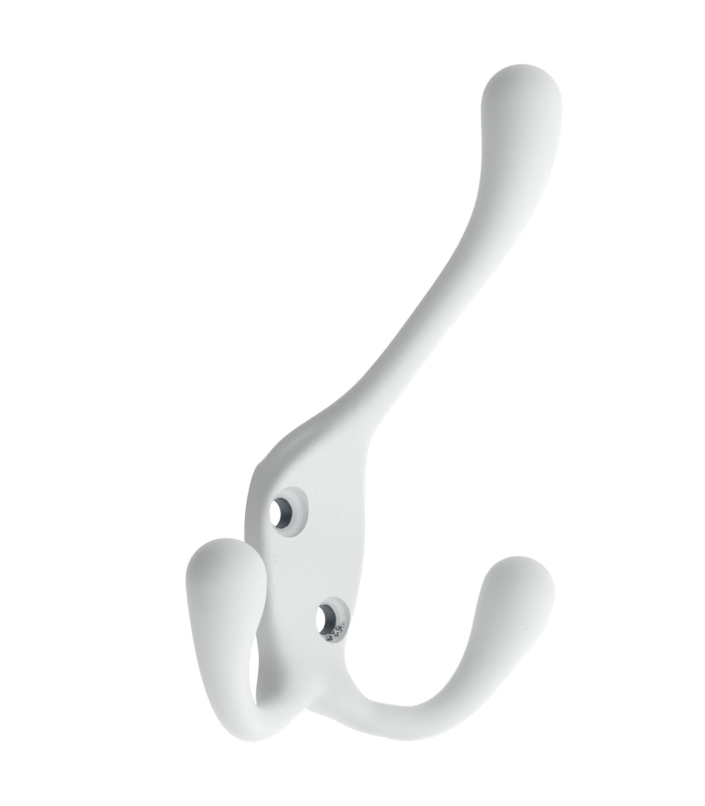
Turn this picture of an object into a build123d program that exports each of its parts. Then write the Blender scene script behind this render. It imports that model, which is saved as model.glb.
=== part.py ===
from build123d import *
import math
import os

os.makedirs("parts", exist_ok=True)

# Screw holes
bore_dia = 5.0
sink_dia = 8.0
sink_recess = 0.4
sink_angle = 90
upper_hole = (-6.4, 8.3)
lower_hole = (4.0, -9.5)
face_at_upper_hole = 5.5

# Plate
plate_thick = 5.2
plate_corner = 1.5
behind_wall = 3.0
plate_depth = plate_thick + behind_wall

# Plate and neck: front face offset, height, lean in degrees, width, depth, corner
plate_stations = [
    (plate_thick, -20.5, 0, 14.4, plate_depth, plate_corner),
    (plate_thick, -14.0, 0, 16.8, plate_depth, plate_corner),
    (plate_thick, -5.0, 0, 20.7, plate_depth, plate_corner),
    (plate_thick, 4.0, 0, 23.5, plate_depth, plate_corner),
    (5.5, 9.5, 8, 22.8, 8.0, plate_corner),
    (7.0, 13.6, 20, 19.9, 7.8, 1.6),
    (9.6, 17.0, 34, 15.8, 7.2, 1.7),
    (13.2, 20.3, 48, 11.2, 6.2, 1.7),
    (17.4, 23.4, 55, 8.4, 5.6, 1.7),
]

# Upper prong: centre offset, height, lean in degrees, width, depth, corner
upper_stations = [
    (21.5, 29.6, 55, 6.8, 5.4, 1.8),
    (28.6, 35.4, 52, 6.1, 5.5, 2.0),
    (36.3, 41.9, 48, 6.2, 5.9, 2.4),
    (43.7, 48.4, 42, 6.9, 6.7, 2.9),
    (49.3, 55.0, 32, 8.5, 8.3, 3.8),
    (52.5, 61.8, 17, 10.7, 10.5, 5.0),
    (53.6, 67.6, 4, 12.2, 12.2, 6.0),
    (53.7, 71.6, -3, 12.74, 12.74, 6.3),
]
upper_ball = (53.73, 72.1, 6.4)

# Root of a lower prong, cut upright: centre, height, depth, corner, tilt in degrees
root_stations = [
    (-2.0, -1.8, -15.6, 11.8, 6.2, 2.6, 7),
    (1.5, -2.1, -17.7, 11.8, 7.4, 2.7, 10),
    (4.8, -2.6, -20.3, 11.1, 8.1, 2.8, 16),
    (7.2, -3.8, -23.0, 8.6, 8.2, 2.8, 18),
    (9.2, -5.2, -25.4, 6.0, 7.8, 2.7, 12),
    (12.8, -7.7, -26.6, 5.2, 6.0, 2.5, 0),
]
root_blend = 3.0

# Lower prong, cut across its run: centre, depth, height, corner
prong_stations = [
    (9.6, -6.6, -25.2, 4.2, 4.0, 1.8),
    (13.6, -8.5, -26.6, 5.7, 5.6, 2.6),
    (18.8, -10.8, -26.9, 6.0, 6.0, 2.8),
    (23.7, -13.4, -24.4, 6.3, 6.4, 3.0),
    (27.4, -15.7, -19.9, 7.1, 7.4, 3.4),
    (30.4, -18.6, -12.8, 9.6, 10.0, 4.7),
    (32.15, -21.2, -5.2, 12.46, 12.46, 6.2),
]
lower_ball = (32.4, -21.5, -4.1)
lower_ball_radius = 6.35

# Plate, neck and upper prong, flat on the wall
with BuildPart() as spine:
    for front, height, lean, width, depth, corner in plate_stations:
        a = math.radians(lean)
        centre = (0, -front + depth / 2 * math.cos(a), height + depth / 2 * math.sin(a))
        section = Plane(origin=centre, x_dir=(1, 0, 0), z_dir=(0, -math.sin(a), math.cos(a)))
        with BuildSketch(section):
            RectangleRounded(width, depth, corner)
    for offset, height, lean, width, depth, corner in upper_stations:
        a = math.radians(lean)
        section = Plane(origin=(0, -offset, height), x_dir=(1, 0, 0), z_dir=(0, -math.sin(a), math.cos(a)))
        with BuildSketch(section):
            RectangleRounded(width, depth, corner)
    loft()
    with Locations((0, -upper_ball[0], upper_ball[1])):
        Sphere(upper_ball[2])
    with Locations((0, 10, 0)):
        Box(200, 20, 200, mode=Mode.SUBTRACT)

# Root that turns out of the plate's foot
with BuildPart() as root:
    for x, y, z, height, depth, corner, tilt in root_stations:
        a = math.radians(tilt)
        with BuildSketch(Plane(origin=(x, y, z), x_dir=(0, math.sin(a), math.cos(a)), z_dir=(1, 0, 0))):
            RectangleRounded(height, depth, corner)
    loft()
    with Locations((0, 10, 0)):
        Box(200, 20, 200, mode=Mode.SUBTRACT)

# Lower prong with its ball end
with BuildPart() as prong:
    with BuildLine() as centre_line:
        Spline([station[:3] for station in prong_stations])
    path = centre_line.edge()
    for x, y, z, depth, height, corner in prong_stations:
        along = path % path.param_at_point((x, y, z))
        with BuildSketch(Plane(origin=(x, y, z), x_dir=(-along.Y, along.X, 0), z_dir=along)):
            RectangleRounded(depth, height, corner)
    loft()
    with Locations(lower_ball):
        Sphere(lower_ball_radius)
    add(root.part)

# One casting, with the corners between the plate's edges and the prongs rounded out
with BuildPart() as hook:
    add(spine.part)
    add(prong.part)
    add(prong.part.mirror(Plane.YZ))
    seams = hook.edges().filter_by(
        lambda edge: 6.5 < abs(edge.center().X) < 8 and -6 < edge.center().Y < -0.2
        and -20.5 < edge.center().Z < -17.5 and edge.length < 4
    )
    fillet(seams, root_blend)
    for (x, z), face in ((upper_hole, face_at_upper_hole), (lower_hole, plate_thick)):
        with Locations(Plane(origin=(x, sink_recess - face, z), z_dir=(0, -1, 0))):
            CounterSinkHole(bore_dia / 2, sink_dia / 2, counter_sink_angle=sink_angle)
            Cylinder(sink_dia / 2, 4, align=(Align.CENTER, Align.CENTER, Align.MIN), mode=Mode.SUBTRACT)
hook.part.label = "coat_hook"
export_step(hook.part, "parts/coat_hook.step")
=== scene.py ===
import math

import bmesh
import bpy
import numpy as np
from mathutils import Matrix, Vector


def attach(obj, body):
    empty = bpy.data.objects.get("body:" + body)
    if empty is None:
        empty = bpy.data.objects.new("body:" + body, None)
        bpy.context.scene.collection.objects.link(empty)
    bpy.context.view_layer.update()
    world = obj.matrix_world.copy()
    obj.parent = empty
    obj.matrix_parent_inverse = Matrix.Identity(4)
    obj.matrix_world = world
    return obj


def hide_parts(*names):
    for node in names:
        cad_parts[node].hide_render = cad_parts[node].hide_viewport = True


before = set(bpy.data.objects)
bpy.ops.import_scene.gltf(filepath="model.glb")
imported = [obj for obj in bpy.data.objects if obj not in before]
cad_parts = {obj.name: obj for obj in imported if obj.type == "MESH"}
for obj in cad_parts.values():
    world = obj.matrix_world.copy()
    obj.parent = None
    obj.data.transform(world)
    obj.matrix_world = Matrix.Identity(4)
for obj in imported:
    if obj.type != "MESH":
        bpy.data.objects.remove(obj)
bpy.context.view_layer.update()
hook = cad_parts["coat_hook"]
scene = bpy.context.scene
scene.view_settings.view_transform = "Standard"

# Camera: the picture's size in pixels, azimuth, elevation and roll in degrees, distance in metres, and where
# the frame's origin falls in the picture, in pixels
PICTURE_WIDTH = 705
PICTURE_HEIGHT = 806
AZIMUTH = -41.0
ELEVATION = -6.1
ROLL = 1.0
DISTANCE = 0.44
PIXELS_PER_METRE = 5800.0
ORIGIN_PIXEL = (297.0, 563.9)
SENSOR_WIDTH = 36.0
NEAREST = 0.01
FARTHEST = 20.0


def direction(azimuth, elevation):
    """The way out from the object at an azimuth and elevation in degrees, with the wall behind it."""
    azimuth, elevation = math.radians(azimuth), math.radians(elevation)
    return Vector((math.sin(azimuth) * math.cos(elevation), -math.cos(azimuth) * math.cos(elevation),
                   math.sin(elevation)))


toward = direction(AZIMUTH, ELEVATION)
level = Vector((math.cos(math.radians(AZIMUTH)), math.sin(math.radians(AZIMUTH)), 0.0))
upright = toward.cross(level)
roll = math.radians(ROLL)
right = math.cos(roll) * level + math.sin(roll) * upright
up = -math.sin(roll) * level + math.cos(roll) * upright
across = (ORIGIN_PIXEL[0] - PICTURE_WIDTH / 2) / PIXELS_PER_METRE
upward = (PICTURE_HEIGHT / 2 - ORIGIN_PIXEL[1]) / PIXELS_PER_METRE

camera = bpy.data.objects.new("camera", bpy.data.cameras.new("camera"))
scene.collection.objects.link(camera)
turn = Matrix((right, up, toward)).transposed().to_4x4()
camera.matrix_world = Matrix.Translation(toward * DISTANCE - right * across - up * upward) @ turn
camera.data.sensor_width = SENSOR_WIDTH
camera.data.lens = PIXELS_PER_METRE * DISTANCE / PICTURE_HEIGHT * SENSOR_WIDTH
camera.data.clip_start = NEAREST
camera.data.clip_end = FARTHEST
scene.camera = camera

# Casting: an even skin over the part's own mesh. Lengths here and below are in metres, and a pair of numbers
# is where a change fades in or out.
SKIN = 0.0004
SAME_POINT = 1e-7
ON_WALL = 1e-5
NOT_ZERO = 1e-20
BEHIND = 0.003
SHARP_ANGLE = 38.0
EVENING = 0.5

# Screw holes: centre, height of the face and sink radius of each, then the profile inwards from the face, as
# depth and radius, the radius as a share of the way from bore to sink
HOLES = ((-0.0064, 0.0083, 0.00545, 0.0042), (0.0041, -0.0095, 0.0052, 0.0039))
HOLE_PROFILE = ((-0.004, 1.13), (-0.0002, 1.13), (0.00005, 1.04), (0.0003, 1.0), (0.0011, 0.95),
                (0.0013, 0.86), (0.0018, 0.48), (0.0019, 0.40), (0.0020, 0.38), (0.0025, 0.04),
                (0.0027, 0.0))
BORE_RADIUS = 0.0025
HOLE_SIDES = 72
PAST_WALL = 0.002
PLUG_RADIUS = 0.0040
PLUG_SIDES = 64

# Foot: how far the undersides of the prong roots sit forward, then by distance from the middle how far they
# sit up and the height of the root's middle
FOOT_FORWARD = 0.0021
FOOT_UP = ((0.0, -0.0005), (0.0030, -0.0002), (0.0065, 0.0006), (0.0090, 0.0005), (0.0130, 0.0))
FOOT_MIDDLE = ((0.0, -0.0160), (0.0048, -0.0203), (0.0072, -0.0230), (0.0092, -0.0254), (0.0128, -0.0266))
FOOT_UNDER = (-0.0005, 0.0050)
FOOT_START = (-0.0015, 0.0040)
FOOT_END = (0.0075, 0.0150)
FOOT_BACK = (-0.0015, 0.0030)
FOOT_FRONT = (0.012, 0.018)

# Shoulder: by height, how far the neck's back edges sit out from where the part has them, and the depth of
# the neck's middle
SHOULDER_OUT = ((0.0110, 0.0), (0.0150, -0.0002), (0.0185, 0.0003), (0.0212, 0.0006), (0.0240, 0.0003),
                (0.0268, -0.0002), (0.0310, 0.0))
NECK_MIDDLE = ((0.0130, 0.0030), (0.0170, 0.0052), (0.0203, 0.0084), (0.0234, 0.0125), (0.0265, 0.0170),
               (0.0295, 0.0215), (0.0353, 0.0286))
NECK_BACK = (-0.0005, 0.0030)
NECK_SIDE = (0.0, 0.004)
SHOULDER_START = (0.011, 0.015)
SHOULDER_END = (0.029, 0.033)
SHOULDER_SWELL = 0.00025
SHOULDER_STEPS = 70

# Inside corners where the prongs leave the plate
ROOT_END = (0.013, 0.018)
ROOT_TOP = (-0.014, -0.007)
ROOT_FRONT = (0.012, 0.017)
UNDERSIDE_TOP = -0.016
UNDERSIDE_FADE = (0.0, 0.003)
FILL_STEPS = 300
STEPS_PER_NORMAL = 5
ROOT_SWELL = 0.00055
ROOT_STEPS = 90

# Prongs and balls, and the light smoothing of all that lies behind them
PRONG_START = (0.010, 0.016)
PRONG_SWELL = 0.00024
PRONG_STEPS = 40
PLATE_STEPS = 8
PLATE_RETURN = 0.52
PRONG_KEPT = 0.999


def ramp(value, low, high):
    """0 at low, 1 at high, and smooth between."""
    share = np.clip((value - low) / (high - low), 0.0, 1.0)
    return share * share * (3.0 - 2.0 * share)


def along(value, stations):
    """The number that the stations give at each value, straight between them."""
    return np.interp(value, *zip(*stations))


class Skin:
    """The casting's surface as arrays, so that all its points move at once."""

    def __init__(self, mesh):
        self.points = np.empty(len(mesh.vertices) * 3)
        mesh.vertices.foreach_get("co", self.points)
        self.points = self.points.reshape(-1, 3)
        self.faces = np.array([(*face.vertices[:], face.vertices[-1])[:4] for face in mesh.polygons])
        self.edges = np.empty(len(mesh.edges) * 2, dtype=np.int32)
        mesh.edges.foreach_get("vertices", self.edges)
        joined = np.bincount(self.edges, minlength=len(self.points))
        self.neighbours = np.maximum(joined, 1)[:, None]
        self.edges = self.edges.reshape(-1, 2)
        self.side = np.abs(self.points[:, 0])

    def total(self, corners, values):
        """Sums the values of faces or edges at the points that their corners name."""
        size = len(self.points)
        return np.stack([np.bincount(corners, values[:, axis], size) for axis in range(3)], axis=1)

    def normals(self):
        corners = [self.points[self.faces[:, corner]] for corner in range(4)]
        areas = np.cross(corners[2] - corners[0], corners[3] - corners[1])
        normals = sum(self.total(self.faces[:, corner], areas) for corner in range(4))
        return normals / np.maximum(np.linalg.norm(normals, axis=1, keepdims=True), NOT_ZERO)

    def pull(self):
        """The way from each point to the middle of its neighbours."""
        start, end = self.edges.T
        total = self.total(start, self.points[end]) + self.total(end, self.points[start])
        return total / self.neighbours - self.points

    def smooth(self, share, steps):
        for _ in range(steps):
            self.points += EVENING * share * self.pull()


def finished(form, name):
    """A mesh with the form's faces."""
    made = bpy.data.meshes.new(name)
    form.to_mesh(made)
    form.free()
    return made


def settle(thing):
    """Gives the object the mesh that its modifier makes."""
    bpy.context.view_layer.update()
    changed = thing.evaluated_get(bpy.context.evaluated_depsgraph_get())
    settled = bpy.data.meshes.new_from_object(changed)
    thing.modifiers.clear()
    thing.data = settled


def rough_form():
    """The part's mesh, run on behind the wall and with its screw holes plugged."""
    form = bmesh.new()
    form.from_mesh(hook.data)
    bmesh.ops.remove_doubles(form, verts=form.verts, dist=SAME_POINT)
    on_wall = [face for face in form.faces if all(abs(point.co.y) < ON_WALL for point in face.verts)]
    run_on = bmesh.ops.extrude_face_region(form, geom=on_wall)["geom"]
    moved = [item for item in run_on if isinstance(item, bmesh.types.BMVert)]
    bmesh.ops.translate(form, vec=(0.0, BEHIND, 0.0), verts=moved)
    bmesh.ops.delete(form, geom=on_wall, context="FACES_ONLY")
    for x, z, face, _ in HOLES:
        spot = Matrix.Translation((x, (BEHIND - face) / 2, z)) @ Matrix.Rotation(math.pi / 2, 4, "X")
        bmesh.ops.create_cone(form, cap_ends=True, segments=PLUG_SIDES, radius1=PLUG_RADIUS,
                              radius2=PLUG_RADIUS, depth=BEHIND + face, matrix=spot)
    return finished(form, "rough")


def shape_foot(skin):
    points = skin.points
    middle = along(skin.side, FOOT_MIDDLE)
    share = ramp(middle - points[:, 2], *FOOT_UNDER) * ramp(skin.side, *FOOT_START)
    share *= 1.0 - ramp(skin.side, *FOOT_END)
    share *= (1.0 - ramp(-points[:, 1], *FOOT_FRONT)) * ramp(-points[:, 1], *FOOT_BACK)
    points[:, 1] -= FOOT_FORWARD * share
    points[:, 2] += along(skin.side, FOOT_UP) * share


def shape_shoulder(skin):
    points = skin.points
    back = ramp(points[:, 1] + along(points[:, 2], NECK_MIDDLE), *NECK_BACK)
    out = np.sign(points[:, 0]) * along(points[:, 2], SHOULDER_OUT)
    points[:, 0] += out * back * ramp(skin.side, *NECK_SIDE)
    share = ramp(points[:, 2], *SHOULDER_START) * (1.0 - ramp(points[:, 2], *SHOULDER_END)) * back
    share = share[:, None]
    points += SHOULDER_SWELL * share * skin.normals()
    skin.smooth(share, SHOULDER_STEPS)


def fill_inside_corners(skin):
    """Fills hollows to soft fillets, then smooths the roots, swollen first by what that takes from them."""
    points = skin.points
    share = (1.0 - ramp(skin.side, *ROOT_END)) * (1.0 - ramp(points[:, 2], *ROOT_TOP))
    share *= 1.0 - ramp(-points[:, 1], *ROOT_FRONT)
    share = share[:, None]
    for step in range(FILL_STEPS):
        if step % STEPS_PER_NORMAL == 0:
            normals = skin.normals()
        outward = np.maximum((skin.pull() * normals).sum(1, keepdims=True), 0.0)
        points += EVENING * share * outward * normals
    under = ramp(UNDERSIDE_TOP - points[:, 2], *UNDERSIDE_FADE)[:, None]
    points += ROOT_SWELL * share * under * skin.normals()
    skin.smooth(share, ROOT_STEPS)


def ease_prongs(skin):
    share = ramp(-skin.points[:, 1], *PRONG_START)[:, None]
    skin.points += PRONG_SWELL * share * skin.normals()
    skin.smooth(share, PRONG_STEPS)
    rest = 1.0 - PRONG_KEPT * share
    for _ in range(PLATE_STEPS):
        skin.smooth(rest, 1)
        skin.points -= PLATE_RETURN * rest * skin.pull()


def flatten_back(mesh):
    """Cuts off what lies behind the wall and closes the back with one flat face."""
    form = bmesh.new()
    form.from_mesh(mesh)
    everything = form.verts[:] + form.edges[:] + form.faces[:]
    cut = bmesh.ops.bisect_plane(form, geom=everything, plane_co=(0, 0, 0), plane_no=(0, 1, 0),
                                 clear_outer=True)
    rim = [item for item in cut["geom_cut"] if isinstance(item, bmesh.types.BMEdge)]
    bmesh.ops.triangle_fill(form, use_beauty=True, edges=rim)
    bmesh.ops.recalc_face_normals(form, faces=form.faces)
    form.to_mesh(mesh)
    form.free()


def hole_form():
    """Both screw holes, turned to their profile, as closed forms to cut with."""
    form = bmesh.new()
    angles = [2 * math.pi * side / HOLE_SIDES for side in range(HOLE_SIDES)]
    for x, z, face, sink in HOLES:
        rings = []
        for depth, share in (*HOLE_PROFILE, (face + PAST_WALL, 0.0)):
            radius = BORE_RADIUS + share * (sink - BORE_RADIUS)
            ring = [(x + radius * math.cos(angle), depth - face, z + radius * math.sin(angle))
                    for angle in angles]
            rings.append([form.verts.new(spot) for spot in ring])
        for near, far in zip(rings, rings[1:]):
            for this in range(HOLE_SIDES):
                other = (this + 1) % HOLE_SIDES
                form.faces.new((near[this], near[other], far[other], far[this]))
        form.faces.new(rings[0][::-1])
        form.faces.new(rings[-1])
    bmesh.ops.recalc_face_normals(form, faces=form.faces)
    return finished(form, "hole_cutter")


casting = bpy.data.objects.new("hook_casting", rough_form())
scene.collection.objects.link(casting)
remesh = casting.modifiers.new("even_skin", "REMESH")
remesh.mode = "VOXEL"
remesh.voxel_size = SKIN
settle(casting)

skin = Skin(casting.data)
shape_foot(skin)
shape_shoulder(skin)
fill_inside_corners(skin)
ease_prongs(skin)
casting.data.vertices.foreach_set("co", skin.points.ravel())
casting.data.update()
flatten_back(casting.data)

cutter = bpy.data.objects.new("hole_cutter", hole_form())
scene.collection.objects.link(cutter)
holes = casting.modifiers.new("screw_holes", "BOOLEAN")
holes.operation = "DIFFERENCE"
holes.solver = "EXACT"
holes.object = cutter
settle(casting)
bpy.data.objects.remove(cutter)

casting.data.polygons.foreach_set("use_smooth", [True] * len(casting.data.polygons))
casting.data.set_sharp_from_angle(angle=math.radians(SHARP_ANGLE))
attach(casting, "root")
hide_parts("coat_hook")

# Materials: the usual detail of a noise
DETAIL = 2.0


class Nodes:
    """Adds nodes to one tree and links them in short calls."""

    def __init__(self, tree):
        self.tree = tree
        tree.nodes.clear()

    def fill(self, socket, value):
        if isinstance(value, bpy.types.NodeSocket):
            self.tree.links.new(value, socket)
        else:
            socket.default_value = value

    def add(self, kind, inputs=None, **settings):
        node = self.tree.nodes.new(kind)
        for name, value in settings.items():
            setattr(node, name, value)
        for name, value in (inputs or {}).items():
            self.fill(node.inputs[name], value)
        return node

    def math(self, operation, first, second=0.0):
        return self.add("ShaderNodeMath", {0: first, 1: second}, operation=operation).outputs[0]

    def opposite(self, share):
        return self.math("SUBTRACT", 1.0, share)

    def noise(self, place, scale, detail=DETAIL):
        node = self.add("ShaderNodeTexNoise", {"Vector": place, "Scale": scale, "Detail": detail})
        return node.outputs["Fac"]

    def blend(self, share, first, second):
        """A colour between two colours."""
        node = self.add("ShaderNodeMix", {0: share, 6: first, 7: second}, data_type="RGBA")
        return node.outputs[2]

    def between(self, share, first, second):
        """A number between two numbers."""
        node = self.add("ShaderNodeMix", {0: share, 2: first, 3: second}, data_type="FLOAT")
        return node.outputs[0]

    def step(self, value, low, high):
        return self.add("ShaderNodeMapRange", {"Value": value, "From Min": low, "From Max": high},
                        interpolation_type="SMOOTHSTEP").outputs["Result"]


# Powder coat on the casting, with bare metal in the drilled bores. Scales are in cells to a metre.
COAT_LIGHT = (0.802, 0.820, 0.821, 1.0)
COAT_DARK = (0.778, 0.797, 0.798, 1.0)
COAT_PIT = (0.60, 0.615, 0.61, 1.0)
METAL_LIGHT = (0.20, 0.235, 0.265, 1.0)
METAL_DARK = (0.10, 0.125, 0.145, 1.0)
COAT_ROUGH = 0.36
COAT_ROUGH_CHANGE = 0.07
METAL_ROUGH = 0.46
METAL_ROUGH_CHANGE = 0.16
SPECULAR = 0.42
BROAD_SCALE = 60.0
PEEL_SCALE = 1100.0
PEEL_DETAIL = 3.0
GRAIN_SCALE = 4500.0
GRAIN_DETAIL = 1.0
GRAIN_COLOUR = 0.3
GRAIN_HEIGHT = 0.25
PIT_SCALE = 230.0
PIT_SIZE = (0.02, 0.045)
PIT_DEPTH = 0.8
DRILL_SCALE = 900.0
DRILL_WAVER = 1.5
DRILL_COLOUR = 0.5
DRILL_HEIGHT = 0.6
BUMP_STRENGTH = 0.26
BUMP_HEIGHT = 0.00014

# Where metal shows: bare in the bores, up to a radius whose edge wanders, and in specks of painted shade
# on the lower sink's inner wall, on its side that faces away from the light. For the specks: the way from the
# sink's centre, right and down, how far that way they start, the radius where they end, the depth where they
# start, and how much of the noise is a speck.
BARE_RADIUS = 0.00262
BARE_FADE = 0.00005
BARE_WANDER = 0.0003
BARE_WANDER_SCALE = 700.0
PAINTED_SHADE_HOLE = HOLES[1]
PAINTED_SHADE_WAY = (0.60, 0.80)
PAINTED_SHADE_REACH = (0.0021, 0.0028)
PAINTED_SHADE_RIM = (0.0035, 0.0038)
PAINTED_SHADE_DEPTH = (0.0022, 0.0026)
PAINTED_SHADE_SCALE = 2600.0
PAINTED_SHADE_SHARE = (0.42, 0.50)


def off_centre(tree, axes, hole):
    """How far right of a hole's centre, above it and away from it each place is."""
    beside = tree.math("SUBTRACT", axes["X"], hole[0])
    above = tree.math("SUBTRACT", axes["Z"], hole[1])
    squares = tree.math("ADD", tree.math("MULTIPLY", beside, beside), tree.math("MULTIPLY", above, above))
    return beside, above, tree.math("SQRT", squares)


def bare_metal_and_painted_shade(tree, place):
    """1 where metal shows, bare in the bores and as specks of painted shade on the lower sink, else 0."""
    axes = tree.add("ShaderNodeSeparateXYZ", {0: place}).outputs
    either_way = tree.math("SUBTRACT", tree.noise(place, BARE_WANDER_SCALE), 0.5)
    wander = tree.math("MULTIPLY", either_way, BARE_WANDER)
    metal_share = 0.0
    for hole in HOLES:
        radius = tree.math("ADD", off_centre(tree, axes, hole)[2], wander)
        in_bore = tree.opposite(tree.step(radius, BARE_RADIUS - BARE_FADE, BARE_RADIUS + BARE_FADE))
        metal_share = tree.math("MAXIMUM", metal_share, in_bore)
    # Painted shade: dark metal specks on the lower sink's inner wall, right of and below its centre, where it
    # faces away from the light
    beside, above, radius = off_centre(tree, axes, PAINTED_SHADE_HOLE)
    reach = tree.math("SUBTRACT", tree.math("MULTIPLY", beside, PAINTED_SHADE_WAY[0]),
                      tree.math("MULTIPLY", above, PAINTED_SHADE_WAY[1]))
    painted_shade = tree.math("MULTIPLY", tree.step(reach, *PAINTED_SHADE_REACH), tree.opposite(tree.step(radius, *PAINTED_SHADE_RIM)))
    painted_shade = tree.math("MULTIPLY", painted_shade, tree.step(tree.noise(place, PAINTED_SHADE_SCALE), *PAINTED_SHADE_SHARE))
    painted_shade = tree.math("MULTIPLY", painted_shade, tree.step(tree.math("MULTIPLY", axes["Y"], -1.0), *PAINTED_SHADE_DEPTH))
    return tree.math("MAXIMUM", metal_share, painted_shade)


def powder_coat():
    finish = bpy.data.materials.new("white_powder_coat")
    finish.use_nodes = True
    tree = Nodes(finish.node_tree)
    place = tree.add("ShaderNodeTexCoord").outputs["Object"]
    broad = tree.noise(place, BROAD_SCALE)
    peel = tree.noise(place, PEEL_SCALE, PEEL_DETAIL)
    grain = tree.noise(place, GRAIN_SCALE, GRAIN_DETAIL)
    # Metal in the bores, and the dark metal specks that are painted shade on the lower sink
    metal_share = bare_metal_and_painted_shade(tree, place)
    waves = {"Vector": place, "Scale": DRILL_SCALE, "Distortion": DRILL_WAVER, "Detail": DETAIL}
    drill_marks = tree.add("ShaderNodeTexWave", waves, bands_direction="Y").outputs["Fac"]
    pit_centre = tree.add("ShaderNodeTexVoronoi", {"Vector": place, "Scale": PIT_SCALE}).outputs["Distance"]
    pits = tree.opposite(tree.step(pit_centre, *PIT_SIZE))

    speckle = tree.math("ADD", tree.math("MULTIPLY", broad, 1.0 - GRAIN_COLOUR),
                        tree.math("MULTIPLY", grain, GRAIN_COLOUR))
    coat = tree.blend(pits, tree.blend(speckle, COAT_DARK, COAT_LIGHT), COAT_PIT)
    streak = tree.math("ADD", tree.math("MULTIPLY", drill_marks, DRILL_COLOUR),
                       tree.math("MULTIPLY", broad, 1.0 - DRILL_COLOUR))
    metal = tree.blend(streak, METAL_DARK, METAL_LIGHT)

    unevenness = tree.math("ADD", broad, peel)
    coat_rough = tree.math("ADD", COAT_ROUGH, tree.math("MULTIPLY", unevenness, COAT_ROUGH_CHANGE))
    metal_rough = tree.math("ADD", METAL_ROUGH, tree.math("MULTIPLY", drill_marks, METAL_ROUGH_CHANGE))

    coat_height = tree.math("ADD", peel, tree.math("MULTIPLY", grain, GRAIN_HEIGHT))
    coat_height = tree.math("SUBTRACT", coat_height, tree.math("MULTIPLY", pits, PIT_DEPTH))
    height = tree.between(metal_share, coat_height, tree.math("MULTIPLY", drill_marks, DRILL_HEIGHT))
    bump = tree.add("ShaderNodeBump", {"Height": height, "Strength": BUMP_STRENGTH, "Distance": BUMP_HEIGHT})
    surface = tree.add("ShaderNodeBsdfPrincipled", {
        "Base Color": tree.blend(metal_share, coat, metal),
        "Metallic": metal_share,
        "Roughness": tree.between(metal_share, coat_rough, metal_rough),
        "Normal": bump.outputs[0],
        "Specular IOR Level": SPECULAR,
    })
    tree.add("ShaderNodeOutputMaterial", {"Surface": surface.outputs[0]})
    return finish


casting.data.materials.clear()
casting.data.materials.append(powder_coat())

# Floor, well below the hook as it hangs, which runs out to a white sweep. The sweep lights the hook from
# below, less from the left.
FLOOR_HEIGHT = -0.30
FLOOR_HALF = 0.7
FLOOR_DARK = (0.94, 0.94, 0.94, 1.0)
FLOOR_LIGHT = (0.96, 0.96, 0.96, 1.0)
FLOOR_SCALE = 9.0
FLOOR_ROUGH = 0.8
SWEEP_START = (0.30, 0.46)
UNDER_LIGHT = 1.39
LEFT_SHARE = 0.6
LEFT_FADE = (-0.45, 0.05)


def pale_floor():
    finish = bpy.data.materials.new("pale_floor")
    finish.use_nodes = True
    tree = Nodes(finish.node_tree)
    place = tree.add("ShaderNodeTexCoord").outputs["Object"]
    reach = tree.add("ShaderNodeVectorMath", {0: place}, operation="LENGTH").outputs["Value"]
    tone = tree.blend(tree.noise(place, FLOOR_SCALE), FLOOR_DARK, FLOOR_LIGHT)
    matt = tree.add("ShaderNodeBsdfPrincipled", {"Base Color": tone, "Roughness": FLOOR_ROUGH})
    seen = tree.add("ShaderNodeLightPath").outputs["Is Camera Ray"]
    across = tree.add("ShaderNodeSeparateXYZ", {0: place}).outputs["X"]
    left_to_right = tree.step(across, *LEFT_FADE)
    under = tree.between(left_to_right, LEFT_SHARE * UNDER_LIGHT, UNDER_LIGHT)
    sweep = tree.add("ShaderNodeEmission", {"Strength": tree.between(seen, under, 1.0)})
    far = tree.step(reach, *SWEEP_START)
    surface = tree.add("ShaderNodeMixShader", {0: far, 1: matt.outputs[0], 2: sweep.outputs[0]})
    tree.add("ShaderNodeOutputMaterial", {"Surface": surface.outputs[0]})
    return finish


floor_mesh = bpy.data.meshes.new("floor")
corners = ((-1, -1), (1, -1), (1, 1), (-1, 1))
spots = [(x * FLOOR_HALF, y * FLOOR_HALF, FLOOR_HEIGHT) for x, y in corners]
floor_mesh.from_pydata(spots, [], [(0, 1, 2, 3)])
floor_mesh.materials.append(pale_floor())
floor = bpy.data.objects.new("floor", floor_mesh)
scene.collection.objects.link(floor)

# World: white to the camera, and for the object a wide even light with one dark side, at its back left. The
# dark side is given as azimuth and elevation, and its edge as angles from there, in degrees.
SKY_LIGHT = 0.995
HORIZON = (-0.50, 0.05)
WHITE = (1.0, 1.0, 1.0, 1.0)
DARK = 0.0
DARK_SIDE = (260.0, 28.0)
DARK_EDGE = (64.0, 32.0)

world = bpy.data.worlds.new("studio")
scene.world = world
world.use_nodes = True
tree = Nodes(world.node_tree)
generated = tree.add("ShaderNodeTexCoord").outputs["Generated"]
way = tree.add("ShaderNodeVectorMath", {0: generated}, operation="NORMALIZE").outputs[0]
dark_way = direction(*DARK_SIDE)
facing = tree.add("ShaderNodeVectorMath", {0: way, 1: dark_way}, operation="DOT_PRODUCT").outputs["Value"]
rise = tree.add("ShaderNodeSeparateXYZ", {0: way}).outputs["Z"]
lit = tree.between(tree.step(rise, *HORIZON), UNDER_LIGHT, SKY_LIGHT)
edge = [math.cos(math.radians(angle)) for angle in DARK_EDGE]
studio = tree.between(tree.step(facing, *edge), lit, DARK)
seen = tree.add("ShaderNodeLightPath").outputs["Is Camera Ray"]
strength = tree.between(seen, studio, 1.0)
glow = tree.add("ShaderNodeBackground", {"Color": WHITE, "Strength": strength})
tree.add("ShaderNodeOutputWorld", {"Surface": glow.outputs[0]})
